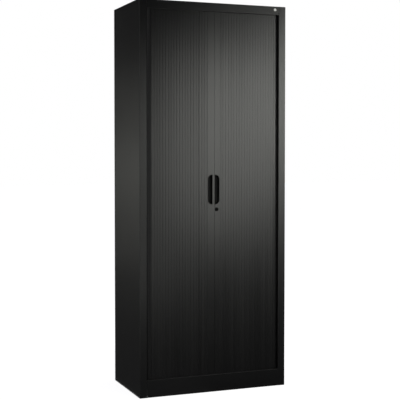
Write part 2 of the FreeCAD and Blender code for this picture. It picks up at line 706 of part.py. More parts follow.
def foot_stud(x, y):
    """Threaded stud with a screwdriver slot in its top end."""
    low = FOOT_LIFT + PAD_THICK + PAD_NECK
    top = low + FOOT_STUD
    slot = box(x - 2 * FOOT_STUD_R, x + 2 * FOOT_STUD_R, y - FOOT_SLOT / 2, y + FOOT_SLOT / 2,
               top - FOOT_SLOT_DEPTH, top + FOOT_SLOT_DEPTH)
    return rod(FOOT_STUD_R, V(x, y, low), V(x, y, top)).cut(slot)


def foot_nuts():
    """Threaded bushes welded under the base panel."""
    z1 = BASE_TOP - SHEET
    solids = []
    for x, y in foot_places():
        bush = rod(FOOT_NUT_R, V(x, y, z1 - FOOT_NUT), V(x, y, z1))
        bore = rod(FOOT_STUD_R + THREAD_CLEAR, V(x, y, z1 - 2 * FOOT_NUT), V(x, y, z1 + FOOT_NUT))
        solids.append(bush.cut(bore))
    return group(solids)


def deck_caps():
    """Plastic caps over the holes that reach the levelling feet."""
    solids = []
    for x, y in foot_places():
        head = rod(ACCESS_CAP_R, V(x, y, PLINTH), V(x, y, PLINTH + ACCESS_CAP))
        skirt = rod(ACCESS_R - PULL_FIT, V(x, y, PLINTH - 2 * ACCESS_CAP), V(x, y, PLINTH))
        solids.append(joined([head, skirt]))
    return group(solids)


def badge():
    """Plain round button on the top rail."""
    x = HALF - BADGE_X
    z = HEIGHT - BADGE_Z
    disc = rod(BADGE_R, V(x, FRONT - BADGE_THICK, z), V(x, FRONT, z))
    rim = [e for e in disc.Edges if e.BoundBox.YLength < BADGE_THICK / 2
           and e.BoundBox.Center.y < FRONT - BADGE_THICK / 2]
    return disc.makeFillet(BADGE_THICK / 2, rim)


# ---------------------------------------------------------------- write the pieces
def pieces():
    """Every node of the cabinet by name."""
    right_panel = drilled(side_panel())
    bottom_track = track(BASE_TOP, BASE_TOP + TRACK_FLOOR)
    top_track = track(CEILING - TRACK_HEIGHT, CEILING - TRACK_HEIGHT)
    slats = group([slat(s) for s in slat_stations()])
    glides = slat_glides()
    nodes = {
        "right_side_panel": right_panel,
        "left_side_panel": drilled(mirrored(side_panel())),
        "top_panel": top_panel(),
        "ceiling_panel": ceiling_panel(),
        "bottom_rail": bottom_rail(),
        "base_panel": base_panel(),
        "deck": deck(),
        "back_panel": back_panel(),
        "back_screws": back_screws(),
        "right_inner_liner": inner_liner(),
        "left_inner_liner": mirrored(inner_liner()),
        "right_uprights": uprights(),
        "left_uprights": mirrored(uprights()),
        "shelf_clips": shelf_clips(),
        "right_bottom_track": bottom_track,
        "left_bottom_track": mirrored(bottom_track),
        "right_top_track": top_track,
        "left_top_track": mirrored(top_track),
        "tail_stops": tail_stops(),
        "right_slats": slats,
        "left_slats": mirrored(slats),
        "right_slat_glides": glides,
        "left_slat_glides": mirrored(glides),
        "right_lead_profile": right_lead(),
        "left_lead_profile": left_lead(),
        "right_finger_pull": finger_pull(),
        "left_finger_pull": mirrored(finger_pull()),
        "right_lead_caps": lead_caps(),
        "left_lead_caps": mirrored(lead_caps()),
        "meeting_seal": meeting_seal(),
        "lock_barrel": lock_barrel(),
        "lock_nut": lock_nut(),
        "lock_plug": lock_plug(),
        "lock_hook": lock_hook(),
        "hook_screw": hook_screw(),
        "strike": strike(),
        "foot_nuts": foot_nuts(),
        "deck_caps": deck_caps(),
        "badge": badge(),
    }
    for number, underside in enumerate(SHELF_UNDERSIDES, 1):
        nodes[f"shelf_{number}"] = shelf(underside)
    for name, (x, y) in zip(("front_left", "front_right", "rear_left", "rear_right"), foot_places()):
        nodes[f"{name}_foot_pad"] = foot_pad(x, y)
        nodes[f"{name}_foot_stud"] = foot_stud(x, y)
    return nodes


os.makedirs("parts", exist_ok=True)
for node, shape in pieces().items():
    shape.exportStep(f"parts/{node}.step")
    volume = shape.Volume / 1000
    print(f"{node}: {len(shape.Solids)} solids, {volume:.1f} cm3, valid {shape.isValid()}")
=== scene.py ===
# %% [markdown]
# # A tall steel cabinet with two roll fronts
#
# The cabinet is folded sheet steel with two doors made of narrow upright slats. The slats are
# linked side by side, slide sideways in grooves and run round the front corners to park along
# the side walls. All the steel pieces come from the construction model, which this lesson
# loads as a fixed frame: nothing in it is moved. What is made here is the finish of every
# surface, the slats in their full detail, the fasteners, the light and the camera.

# %% Load the frame
import json
import math

import bmesh
import bpy
from mathutils import Matrix, Vector


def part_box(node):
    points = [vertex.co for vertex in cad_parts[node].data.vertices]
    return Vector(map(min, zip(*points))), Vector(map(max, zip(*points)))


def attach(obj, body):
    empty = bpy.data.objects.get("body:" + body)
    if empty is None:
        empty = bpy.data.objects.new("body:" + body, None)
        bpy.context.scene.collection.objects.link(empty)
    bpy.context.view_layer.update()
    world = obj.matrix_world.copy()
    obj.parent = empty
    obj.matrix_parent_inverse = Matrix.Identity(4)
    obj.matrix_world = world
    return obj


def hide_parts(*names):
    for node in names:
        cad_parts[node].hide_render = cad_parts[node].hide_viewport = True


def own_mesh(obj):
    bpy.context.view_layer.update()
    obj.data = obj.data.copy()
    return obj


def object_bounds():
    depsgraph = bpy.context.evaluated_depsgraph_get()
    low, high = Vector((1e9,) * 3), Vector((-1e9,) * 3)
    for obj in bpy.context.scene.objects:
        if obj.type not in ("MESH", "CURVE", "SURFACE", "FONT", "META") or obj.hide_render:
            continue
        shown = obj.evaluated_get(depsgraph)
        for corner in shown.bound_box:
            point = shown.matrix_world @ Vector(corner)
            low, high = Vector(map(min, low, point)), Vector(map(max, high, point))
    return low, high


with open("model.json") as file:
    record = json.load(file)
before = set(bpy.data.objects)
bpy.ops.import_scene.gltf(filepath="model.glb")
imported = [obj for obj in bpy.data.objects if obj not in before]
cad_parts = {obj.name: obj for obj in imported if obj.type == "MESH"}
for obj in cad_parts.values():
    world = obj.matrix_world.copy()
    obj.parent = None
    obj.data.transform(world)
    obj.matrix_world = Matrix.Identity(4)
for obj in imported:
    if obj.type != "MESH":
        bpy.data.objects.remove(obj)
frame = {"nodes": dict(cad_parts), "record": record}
CAD_LOW, CAD_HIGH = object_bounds()
MM = 0.001
print("cabinet size in mm:", [round(side / MM, 1) for side in CAD_HIGH - CAD_LOW])

# %% [markdown]
# ## The camera
#
# A tall black box tells its proportions only if the camera stands far enough away: from
# five metres the verticals stay nearly parallel. The camera looks from the left, so that the
# front and one side wall show, and a small downward shift of the lens holds the foot of the
# cabinet in the picture without tilting the camera further.

# %% Camera
CAMERA_PLACE = (-1.902, -4.820, 1.227)
CAMERA_YAW = math.radians(21.6)
CAMERA_PITCH = math.radians(-1.99)
LENS = 88.2
SENSOR = 36.0
LENS_SHIFT = -0.035

camera_data = bpy.data.cameras.new("camera")
camera = bpy.data.objects.new("camera", camera_data)
bpy.context.scene.collection.objects.link(camera)
camera.location = CAMERA_PLACE
camera.rotation_euler = (math.pi / 2 + CAMERA_PITCH, 0, -CAMERA_YAW)
camera_data.sensor_width = SENSOR
camera_data.lens = LENS
camera_data.shift_y = LENS_SHIFT
bpy.context.scene.camera = camera
bpy.context.scene.view_settings.view_transform = "Standard"
print("camera:", round(math.dist(CAMERA_PLACE, (0, 0, 1)), 2), "m from the cabinet, lens", LENS)

# %% [markdown]
# ## Shader maths as Python
#
# A procedural finish is a small calculation at every point of a surface. Wired by hand it is
# a tangle of Math nodes, so one class wraps a node's output and lets it be added and
# multiplied like a number. Each operator adds one Math node. Every other kind of node comes
# from the one method `node`, which takes the node's type, its settings and its inputs.

# %% Wire
class Wire:
    """Output of a shader node that takes part in Python arithmetic."""

    def __init__(self, tree, socket):
        self.tree = tree
        self.socket = socket

    def node(self, kind, settings=None, inputs=None, output=0):
        """Adds a node: settings first, then a value or a Wire for each named input."""
        made = self.tree.nodes.new(kind)
        for name, value in (settings or {}).items():
            if name == "stops":
                fill_ramp(made.color_ramp, value)
            else:
                setattr(made, name, value)
        for name, value in (inputs or {}).items():
            if isinstance(value, Wire):
                self.tree.links.new(value.socket, made.inputs[name])
            else:
                made.inputs[name].default_value = value
        return Wire(self.tree, made.outputs[output])

    def maths(self, operation, first, second):
        """Adds a Math node for two values, each a number or a Wire."""
        return self.node("ShaderNodeMath", {"operation": operation}, {0: first, 1: second})

    def __add__(self, other):
        return self.maths("ADD", self, other)

    def __radd__(self, other):
        return self.maths("ADD", other, self)

    def __sub__(self, other):
        return self.maths("SUBTRACT", self, other)

    def __rsub__(self, other):
        return self.maths("SUBTRACT", other, self)

    def __mul__(self, other):
        return self.maths("MULTIPLY", self, other)

    def __rmul__(self, other):
        return self.maths("MULTIPLY", other, self)


def fill_ramp(ramp, stops):
    """Gives a colour ramp its stops, each a place and a grey."""
    while len(ramp.elements) < len(stops):
        ramp.elements.new(1.0)
    for element, (place, grey) in zip(ramp.elements, stops):
        element.position = place
        element.color = (grey, grey, grey, 1)


operators = [name.strip("_") for name in vars(Wire) if name.endswith(("add__", "sub__", "mul__"))]
print("a Wire takes part in:", ", ".join(operators))

# %% [markdown]
# ## A finish
#
# Every material here is one Principled shader. Values that are the same all over sit on the
# shader's own sockets. Only what changes from place to place is linked: the colour, the
# roughness and the bump. A Wire that has no socket yet serves to add the first node.

# %% Start a finish
def object_place(tree):
    """Wire with the object coordinates of a material, in metres."""
    return Wire(tree, None).node("ShaderNodeTexCoord", output="Object")


def finish(name, colour, roughness, metallic=0.0):
    """Returns a material, its shader node and a Wire with the object coordinates."""
    material = bpy.data.materials.new(name)
    material.use_nodes = True
    tree = material.node_tree
    shader = tree.nodes["Principled BSDF"]
    shader.inputs["Base Color"].default_value = (*colour, 1)
    shader.inputs["Roughness"].default_value = roughness
    shader.inputs["Metallic"].default_value = metallic
    material.diffuse_color = (*colour, 1)
    return material, shader, object_place(tree)


def connect(shader, wires):
    """Links each Wire to the shader's socket of that name."""
    for socket, wire in wires.items():
        wire.tree.links.new(wire.socket, shader.inputs[socket])


def steps(*materials):
    """Prints how many nodes each material took."""
    for material in materials:
        print(material.name.split(".")[0], "has", len(material.node_tree.nodes), "nodes")


print("materials that came with the frame:", len(bpy.data.materials))

# %% [markdown]
# ## Patterns
#
# The finishes share three helpers: noise, a mix of two colours and relief. Patterns are laid
# out in object coordinates, which are metres on every piece, so a grain of 1 mm is a noise of
# the same scale on each of them. Colours go through a Mix node, because a Math node would turn
# them grey.

# %% Patterns
def noise(place, grain, detail=2.0, stretch=(1, 1, 1)):
    """Noise with features of about the given size in metres, from 0 to 1."""
    stretched = place.node("ShaderNodeMapping", {}, {"Vector": place, "Scale": stretch})
    return place.node("ShaderNodeTexNoise", {}, {"Vector": stretched, "Scale": 1 / grain,
                                                 "Detail": detail, "Roughness": 0.5})


def tint(factor, dark, light):
    """Colour between two, by a factor that changes over the surface."""
    settings = {"data_type": "RGBA", "blend_type": "MIX"}
    inputs = {0: factor, 6: (*dark, 1), 7: (*light, 1)}
    return factor.node("ShaderNodeMix", settings, inputs, output=2)


def bump(height, depth):
    """Normal that stands for relief of the given depth in metres."""
    return height.node("ShaderNodeBump", {}, {"Height": height, "Distance": depth,
                                              "Strength": 1.0})


print("noise scale of a grain of 1 mm:", round(1 / MM))

# %% [markdown]
# ## Black powder coat
#
# The carcass is coated with a semi-gloss polyester powder. It melts and sets with a fine
# orange peel, waves of about 2 mm that are some ten micrometres high, and its gloss is never
# quite even. A flat black would look like plastic. So the bump carries the orange peel, the
# roughness drifts slowly over the sheet, and the colour moves a hair.

# %% Powder coat
PAINT_DARK = (0.0110, 0.0110, 0.0114)
PAINT_LIGHT = (0.0140, 0.0140, 0.0143)
SHEET_CLOUD = 0.25
SHEET_CLOUD_SHARE = 0.7
SHEET_CLOUD_SWING = 0.06
SPECK = 0.5 * MM
SPECK_SWING = 0.02
PEEL = 2.2 * MM
PEEL_HEIGHT = 0.010 * MM
CARCASS_ROUGHNESS = 0.38


def powder_coat(name, roughness):
    """Semi-gloss black coat; the roughness swings about the given value."""
    material, shader, place = finish(name, PAINT_DARK, roughness)
    cloud = noise(place, SHEET_CLOUD)
    speck = noise(place, SPECK, detail=1.0)
    mottle = cloud * SHEET_CLOUD_SHARE + speck * (1 - SHEET_CLOUD_SHARE)
    lowest = roughness - (SHEET_CLOUD_SWING + SPECK_SWING) / 2
    connect(shader, {
        "Base Color": tint(mottle, PAINT_DARK, PAINT_LIGHT),
        "Roughness": lowest + cloud * SHEET_CLOUD_SWING + speck * SPECK_SWING,
        "Normal": bump(noise(place, PEEL), PEEL_HEIGHT),
    })
    return material


black_powder_coat = powder_coat("black_powder_coat", CARCASS_ROUGHNESS)
steps(black_powder_coat)

# %% [markdown]
# ## Extruded slats and profiles
#
# A slat is drawn through a die, which leaves hair-fine lines along its length. Noise that is
# stretched a thousandfold along Z gives them. No two slats come out of the batch quite equal,
# so each has a tone of its own. It is stored on the mesh as an attribute and read here.

# %% Slat plastic and coated aluminium
SLAT_DARK = (0.0105, 0.0105, 0.0108)
SLAT_LIGHT = (0.0145, 0.0145, 0.0145)
SLAT_ROUGHNESS = 0.38
PROFILE_ROUGHNESS = 0.36
PROFILE_CLOUD = 0.18
TONE_SHARE = 0.8
TONE_SWING = 0.06
DIE_SWING = 0.04
DIE_LINE = 0.35 * MM
DIE_STRETCH = (1, 1, 0.001)
DIE_DEPTH = 0.006 * MM
TONE = "slat_tone"


def extruded(name, roughness, toned):
    """Finish with die lines along Z; toned takes its tone from the mesh, not from noise."""
    material, shader, place = finish(name, SLAT_DARK, roughness)
    lines = noise(place, DIE_LINE, stretch=DIE_STRETCH)
    if toned:
        tone = place.node("ShaderNodeAttribute", {"attribute_name": TONE}, {}, output="Fac")
    else:
        tone = noise(place, PROFILE_CLOUD)
    mottle = tone * TONE_SHARE + lines * (1 - TONE_SHARE)
    lowest = roughness - (TONE_SWING + DIE_SWING) / 2
    connect(shader, {
        "Base Color": tint(mottle, SLAT_DARK, SLAT_LIGHT),
        "Roughness": lowest + tone * TONE_SWING + lines * DIE_SWING,
        "Normal": bump(lines, DIE_DEPTH),
    })
    return material


black_slat_plastic = extruded("black_slat_plastic", SLAT_ROUGHNESS, toned=True)
black_coated_aluminium = extruded("black_coated_aluminium", PROFILE_ROUGHNESS, toned=False)
steps(black_slat_plastic, black_coated_aluminium)

# %% [markdown]
# ## Moulded plastic, nylon and rubber
#
# Moulded parts take the eroded skin of their tool: a fine, even grain. The finger pulls and
# the feet are a dull, deep black with hardly any gloss. The nylon of the tracks is waxy, and
# the rubber of the seal is dull and dusty.

# %% Moulded finishes
MOULD_CLOUD = 0.04
MOULD_SWING = 0.1
WORN = 1.3


def moulded(name, colour, roughness, grain, depth, gloss=0.5):
    """Plastic or rubber with a moulded grain of the given size and depth in metres."""
    material, shader, place = finish(name, colour, roughness)
    shader.inputs["Specular IOR Level"].default_value = gloss
    relief = noise(place, grain, detail=1.0)
    cloud = noise(place, MOULD_CLOUD)
    light = tuple(WORN * part for part in colour)
    connect(shader, {
        "Base Color": tint(cloud, colour, light),
        "Roughness": roughness - MOULD_SWING / 2 + cloud * MOULD_SWING,
        "Normal": bump(relief, depth),
    })
    return material


black_moulded_plastic = moulded("black_moulded_plastic", colour=(0.0025,) * 3, roughness=0.7,
                                grain=0.6 * MM, depth=0.012 * MM, gloss=0.15)
black_nylon = moulded("black_nylon", colour=(0.010,) * 3, roughness=0.5,
                      grain=0.9 * MM, depth=0.008 * MM)
black_rubber = moulded("black_rubber", colour=(0.012,) * 3, roughness=0.75,
                       grain=0.4 * MM, depth=0.015 * MM)
steps(black_moulded_plastic, black_nylon, black_rubber)

# %% [markdown]
# ## Metals
#
# The clips, the hook, the screws and the feet's studs are zinc plated: bright, with a cloudy
# bloom. Noise alone is too even for that, so a colour ramp gathers it into patches, which then
# change both the colour and the roughness. The small round button on the top rail is pale
# satin aluminium. The lock is not bright: its face is matt black, so it is made like a moulded
# piece with little gloss.

# %% Metal finishes
ZINC = (0.55, 0.56, 0.58)
ZINC_ROUGHNESS = 0.32
ZINC_BLOOM = 0.15
BLOOM_SIZE = 6 * MM
BRUSH_SIZE = 0.3 * MM
BRUSH_STRETCH = (1, 1, 0.1)
BRUSH_SWING = 0.05
DULL = 0.75
BLOOM_STOPS = ((0.35, 0.0), (0.65, 1.0))


def plated(name, colour, roughness, bloom):
    """Bright metal with cloudy patches; bloom is the swing of its roughness."""
    material, shader, place = finish(name, colour, roughness, metallic=1.0)
    cloud = noise(place, BLOOM_SIZE, detail=4.0)
    cloud = cloud.node("ShaderNodeValToRGB", {"stops": BLOOM_STOPS}, {"Fac": cloud})
    brushed = noise(place, BRUSH_SIZE, stretch=BRUSH_STRETCH)
    dull = tuple(DULL * part for part in colour)
    connect(shader, {
        "Base Color": tint(cloud, dull, colour),
        "Roughness": roughness - bloom / 2 + cloud * bloom + brushed * BRUSH_SWING,
    })
    return material


matt_black_lock = moulded("matt_black_lock", colour=(0.002,) * 3, roughness=0.6,
                          grain=0.5 * MM, depth=0.002 * MM, gloss=0.05)
zinc_plated_steel = plated("zinc_plated_steel", ZINC, ZINC_ROUGHNESS, ZINC_BLOOM)
badge_aluminium = plated("badge_aluminium", colour=(0.78, 0.78, 0.77), roughness=0.45, bloom=0.08)
steps(matt_black_lock, zinc_plated_steel, badge_aluminium)

# %% [markdown]
# ## A screw thread
#
# The feet stand on threaded studs of the same zinc. The thread could be modelled, but it is
# hidden under the cabinet, so a wave with the pitch of an M10 screw is enough as bump. At
# scale 1 Blender's wave texture makes 10 / pi waves in a metre, and the scale follows from
# that.

# %% Threaded steel
THREAD_PITCH = 1.5 * MM
THREAD_DEPTH = 0.6 * MM
WAVES_PER_SCALE = 10 / math.pi


def threaded(name):
    """Zinc plating with a screw thread along Z."""
    material = plated(name, ZINC, ZINC_ROUGHNESS, ZINC_BLOOM)
    place = object_place(material.node_tree)
    wave = place.node("ShaderNodeTexWave", {"bands_direction": "Z", "wave_profile": "TRI"},
                      {"Vector": place, "Scale": 1 / THREAD_PITCH / WAVES_PER_SCALE},
                      output="Fac")
    shader = material.node_tree.nodes["Principled BSDF"]
    connect(shader, {"Normal": bump(wave, THREAD_DEPTH)})
    return material


threaded_steel = threaded("threaded_zinc_steel")
steps(threaded_steel)

# %% [markdown]
# ## Dressing the construction pieces
#
# The record says which material slot each piece has. Most finishes carry the slot's name, so
# one loop dresses them all.

# %% Dress the nodes
finishes = {
    "black_powder_coat": black_powder_coat,
    "black_slat_plastic": black_slat_plastic,
    "black_coated_aluminium": black_coated_aluminium,
    "black_nylon": black_nylon,
    "black_moulded_plastic": black_moulded_plastic,
    "black_rubber": black_rubber,
    "matt_black_lock": matt_black_lock,
    "zinc_plated_steel": zinc_plated_steel,
    "badge_aluminium": badge_aluminium,
}
slots = {part["node"]: part["material_slot"] for part in frame["record"]["subparts"]}


def dress(piece, material):
    """Puts one material on a whole piece."""
    piece.data.materials.clear()
    piece.data.materials.append(material)


for name, piece in frame["nodes"].items():
    dress(piece, threaded_steel if name.endswith("foot_stud") else finishes[slots[name]])
print("dressed", len(frame["nodes"]), "construction pieces")

# %% [markdown]
# ## The path of a door
#
# A door runs flat along the front, turns the corner on a quarter circle and goes straight
# back beside the wall. One function gives the place and the heading at any distance along
# it. The distances come from the frame: the box round the slats gives their front, their
# parked place and their height, so the pieces made here sit where the construction has them.

# %% Door path
LEAD_WIDTH = 36 * MM
SLAT_PITCH = 15 * MM
SLAT_THICK = 8 * MM
CORNER_RADIUS = 55 * MM
slats_low, slats_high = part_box("right_slats")
LINE_Y = slats_low.y + SLAT_THICK / 2
POCKET_X = slats_high.x - SLAT_THICK / 2
CORNER_X = POCKET_X - CORNER_RADIUS
CORNER_Y = LINE_Y + CORNER_RADIUS
FLAT_RUN = CORNER_X - LEAD_WIDTH
CORNER_RUN = CORNER_RADIUS * math.pi / 2
SLAT_LOW = slats_low.z
SLAT_HIGH = slats_high.z
SIDES = ((1, "right"), (-1, "left"))


def on_path(distance):
    """Place on the right door's centre line and the angle that it has turned through."""
    if distance <= FLAT_RUN:
        return Vector((LEAD_WIDTH + distance, LINE_Y, 0)), 0.0
    if distance <= FLAT_RUN + CORNER_RUN:
        turn = (distance - FLAT_RUN) / CORNER_RADIUS
        x = CORNER_X + CORNER_RADIUS * math.sin(turn)
        return Vector((x, CORNER_Y - CORNER_RADIUS * math.cos(turn), 0)), turn
    return Vector((POCKET_X, CORNER_Y + distance - FLAT_RUN - CORNER_RUN, 0)), math.pi / 2


last_y = slats_high.y - SLAT_PITCH / 2
SLAT_COUNT = round((FLAT_RUN + CORNER_RUN + last_y - CORNER_Y) / SLAT_PITCH + 0.5)
FLAT_SLATS = int(FLAT_RUN / SLAT_PITCH + 0.5)
print("slats in a door:", SLAT_COUNT, "of which on the flat:", FLAT_SLATS)

# %% [markdown]
# ## The slats
#
# A slat is a bar with a shallow crown, rounded long edges and a back that tapers, so that
# neighbours can turn against each other in the corner. A thin soft web, set back from the
# front, links it to the next one and keeps light and dust out. A slat could be a box with a
# bevel and a bend, but a subdivided box rounds its sawn ends as well. So each one is drawn as
# one outline and pulled up to its height, which gives clean long faces.

# %% Slat outline
SLAT_GAP = 0.4 * MM
CROWN = 0.12 * MM
CROWN_STEPS = 8
EDGE_ROUND = 0.25 * MM
TAPER = 1.1 * MM
SHOULDER = 4.5 * MM
WEB_FRONT = -0.8 * MM
WEB_BACK = 0.2 * MM
SLAT_HALF = (SLAT_PITCH - SLAT_GAP) / 2


def slat_outline(slack=0.0):
    """Points of a slat's section, across the door and in depth; slack trims its far edge."""
    far = SLAT_HALF - slack
    back = SLAT_THICK / 2
    radius = (SLAT_HALF ** 2 + CROWN ** 2) / (2 * CROWN)
    points = []
    for step in range(CROWN_STEPS + 1):
        u = -SLAT_HALF + EDGE_ROUND + (SLAT_HALF + far - 2 * EDGE_ROUND) * step / CROWN_STEPS
        points.append((u, -back + radius - math.sqrt(radius ** 2 - u ** 2)))
    edge = points[0][1] + EDGE_ROUND
    side = [(EDGE_ROUND * (1 - math.cos(a)), edge - EDGE_ROUND * math.sin(a))
            for a in (math.pi / 3, math.pi / 6, 0)]
    side += [(0, back - SHOULDER), (TAPER, back)]
    right = [(far - u, v) for u, v in side]
    left = [(u - SLAT_HALF, v) for u, v in reversed(side)]
    return points + right + left


print("points in a slat's outline:", len(slat_outline()))

# %% [markdown]
# ## Faces between rings
#
# A bar or a turned pin is a stack of rings of points, with faces between neighbouring rings
# and a cap at each end. Blender can extrude or spin a ring step by step. Here the faces are
# built straight from the points, because then they are at hand and can be given a tone. One
# function, `skin`, does it for all the bars and turned pieces in this lesson.

# %% Rings to faces
def skin(rings, bm):
    """Faces between neighbouring rings of points, with a cap on the first and the last."""
    rings = [[bm.verts.new(point) for point in ring] for ring in rings]
    faces = [bm.faces.new(rings[0][::-1]), bm.faces.new(rings[-1])]
    for low, high in zip(rings, rings[1:]):
        for i in range(len(low)):
            j = (i + 1) % len(low)
            faces.append(bm.faces.new((low[i], low[j], high[j], high[i])))
    return faces


def stand(outline, distance, low, high, bm):
    """Pulls an outline up between two heights, set across the path at a distance."""
    place, turn = on_path(distance)
    spin = Matrix.Rotation(turn, 3, "Z")
    rings = [[place + spin @ Vector((u, v, 0)) + Vector((0, 0, z)) for u, v in outline]
             for z in (low, high)]
    return skin(rings, bm)


trial = bmesh.new()
print("faces of one slat:", len(stand(slat_outline(), 0.0, SLAT_LOW, SLAT_HIGH, trial)))
trial.free()

# %% [markdown]
# ## From outlines to pieces
#
# Every outline is drawn for the right door. The left door's pieces are the same ones mirrored,
# which keeps the two sides equal. The pieces are shaded smooth, so that the shallow crown of
# a slat looks round, and every edge that turns by more than 32 degrees stays sharp.

# %% Outlines to pieces
SHARP = math.radians(32)


def bare_object(name, bm):
    """Object from a bmesh, still without a material or a body."""
    mesh = bpy.data.meshes.new(name)
    bm.to_mesh(mesh)
    bm.free()
    piece = bpy.data.objects.new(name, mesh)
    bpy.context.scene.collection.objects.link(piece)
    return piece


def mesh_piece(name, bm, side, body):
    """Smooth object from a bmesh drawn for the right side; side -1 mirrors it."""
    if side < 0:
        bmesh.ops.scale(bm, vec=(-1, 1, 1), verts=bm.verts)
        bmesh.ops.reverse_faces(bm, faces=bm.faces)
    bmesh.ops.recalc_face_normals(bm, faces=bm.faces)
    piece = bare_object(name, bm)
    piece.data.shade_smooth()
    piece.data.set_sharp_from_angle(angle=SHARP)
    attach(piece, body)
    return piece


def web_outline(distance, slack):
    """Corners of the soft web between the slat at a distance and the next one."""
    corners = []
    for at, edge in ((distance, SLAT_HALF - slack), (distance + SLAT_PITCH, -SLAT_HALF)):
        place, turn = on_path(at)
        spin = Matrix.Rotation(turn, 3, "Z")
        depths = (WEB_FRONT, WEB_BACK) if edge > 0 else (WEB_BACK, WEB_FRONT)
        corners += [place + spin @ Vector((edge, v, 0)) for v in depths]
    return corners


web = web_outline(SLAT_PITCH / 2, 0.0)
print("web between two slats:", round((web[2] - web[1]).length / MM, 2), "mm wide")

# %% [markdown]
# ## The two doors
#
# Each door is cut in two at the corner, into the slats on the flat and the slats beyond, each a
# piece of its own. The soft webs are never pulled quite equally tight. One of them, after the
# left door's third slat, stands a little open and shows as a darker line from top to bottom.

# %% Slat rows
TONES = (0.55, 0.20, 0.75, 0.40, 0.95, 0.10, 0.65, 0.30, 0.85, 0.50, 0.15, 0.70)
TONE_STEP = 5
LEFT_TONE_START = 3
OPEN_JOINT = 1.3 * MM
OPEN_JOINT_AFTER = (-1, 2)


def slat_row(name, side, first, last):
    """Slats first to last - 1 of a door, with their webs, as one piece."""
    bm = bmesh.new()
    tone = bm.faces.layers.float.new(TONE)
    start = LEFT_TONE_START if side < 0 else 0
    for i in range(first, last):
        at = (i + 0.5) * SLAT_PITCH
        slack = OPEN_JOINT if (side, i) == OPEN_JOINT_AFTER else 0.0
        for face in stand(slat_outline(slack), at, SLAT_LOW, SLAT_HIGH, bm):
            face[tone] = TONES[(i * TONE_STEP + start) % len(TONES)]
        if i < SLAT_COUNT - 1:
            corners = web_outline(at, slack)
            skin([[corner + Vector((0, 0, z)) for corner in corners]
                  for z in (SLAT_LOW, SLAT_HIGH)], bm)
    piece = mesh_piece(name, bm, side, "carcass")
    dress(piece, black_slat_plastic)
    return piece


doors = {}
for side, word in SIDES:
    node = f"{word}_slats"
    flat = slat_row(f"{word}_flat_slats", side, 0, FLAT_SLATS)
    parked = slat_row(f"{word}_corner_slats", side, FLAT_SLATS, SLAT_COUNT)
    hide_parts(node)
    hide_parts(node)
    doors[word] = [flat]
    print(node, "have", len(flat.data.polygons) + len(parked.data.polygons), "faces")

# %% [markdown]
# ## Glides
#
# Each slat runs on a round nylon nose at both ends. The noses are turned pins with a
# chamfered tip. A cylinder with a bevel would do for one of them, but there are two on every
# slat, so each is built from three rings: few points and no modifier.

# %% Round noses
GLIDE_RADIUS = 2.5 * MM
GLIDE_CHAMFER = 0.6 * MM
GLIDE_SIDES = 20
glides_low, glides_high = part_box("right_slat_glides")


def circle(radius, z, sides, middle=(0, 0)):
    """Points of a level circle."""
    turns = [2 * math.pi * i / sides for i in range(sides)]
    return [(middle[0] + radius * math.cos(turn), middle[1] + radius * math.sin(turn), z)
            for turn in turns]


def pin(place, root, tip, bm):
    """Round nose from root to tip, with a chamfer at the tip."""
    away = 1 if tip > root else -1
    stations = [(GLIDE_RADIUS, root), (GLIDE_RADIUS, tip - away * GLIDE_CHAMFER),
                (GLIDE_RADIUS - GLIDE_CHAMFER, tip)]
    skin([circle(radius, z, GLIDE_SIDES, place) for radius, z in stations], bm)


print("noses reach", round((glides_high.z - SLAT_HIGH) / MM, 2), "mm out of a slat's top end")

# %% [markdown]
# ## The glides in their places
#
# The noses stand on the same path as the slats. They are pieces of their own, because they are
# nylon, and are cut in two at the corner like the slats.

# %% Glide rows
def glide_row(name, side, first, last):
    """Noses of slats first to last - 1 of a door."""
    bm = bmesh.new()
    for i in range(first, last):
        place = on_path((i + 0.5) * SLAT_PITCH)[0]
        pin(place, SLAT_LOW, glides_low.z, bm)
        pin(place, SLAT_HIGH, glides_high.z, bm)
    piece = mesh_piece(name, bm, side, "carcass")
    dress(piece, black_nylon)
    return piece


for side, word in SIDES:
    node = f"{word}_slat_glides"
    flat = glide_row(f"{word}_flat_glides", side, 0, FLAT_SLATS)
    parked = glide_row(f"{word}_corner_glides", side, FLAT_SLATS, SLAT_COUNT)
    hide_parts(node)
    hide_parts(node)
    doors[word].append(flat)
    print(node, "have", len(flat.data.polygons) + len(parked.data.polygons), "faces")

# %% [markdown]
# ## The pieces on the flat
#
# The joint of a door slides its leading profile by nearly the whole flat run. The slats and noses
# on the flat don't follow it here: each of their pieces is only given a mesh of its own.

# %% Meshes of their own
for side, word in SIDES:
    for piece in doors[word]:
        side * CORNER_X
        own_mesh(piece)

# %% [markdown]
# ## Turned solids
#
# The back panel is held by pan-head screws. Such a head could be a squashed sphere, but then
# its flat rim is lost. It is drawn as on a lathe instead: half an outline, spun round the
# axis, so that the rim and the dome have their true measures.

# %% Spun outlines
def spun(outline, sides):
    """Closed solid of revolution about Z from pairs of radius and height."""
    bm = bmesh.new()
    skin([circle(radius, z, sides) for radius, z in outline], bm)
    return bm


drum = spun([(1, 0), (1, 1)], 8)
print("faces of a spun drum with 8 sides:", len(drum.faces))
drum.free()

# %% [markdown]
# ## The outline of a screw head
#
# A pan head has a short upright rim with a dome above it. The dome starts as part of a circle
# that is stretched to the head's height, and ends in a flat top, where the recess goes.

# %% Head outline
HEAD_RADIUS = 3.6 * MM
HEAD_HEIGHT = 1.6 * MM
HEAD_SIDES = 40
RIM = 0.45
DOME_TURN = math.radians(75)
DOME_STEPS = 6
DOME_REACH = 0.9


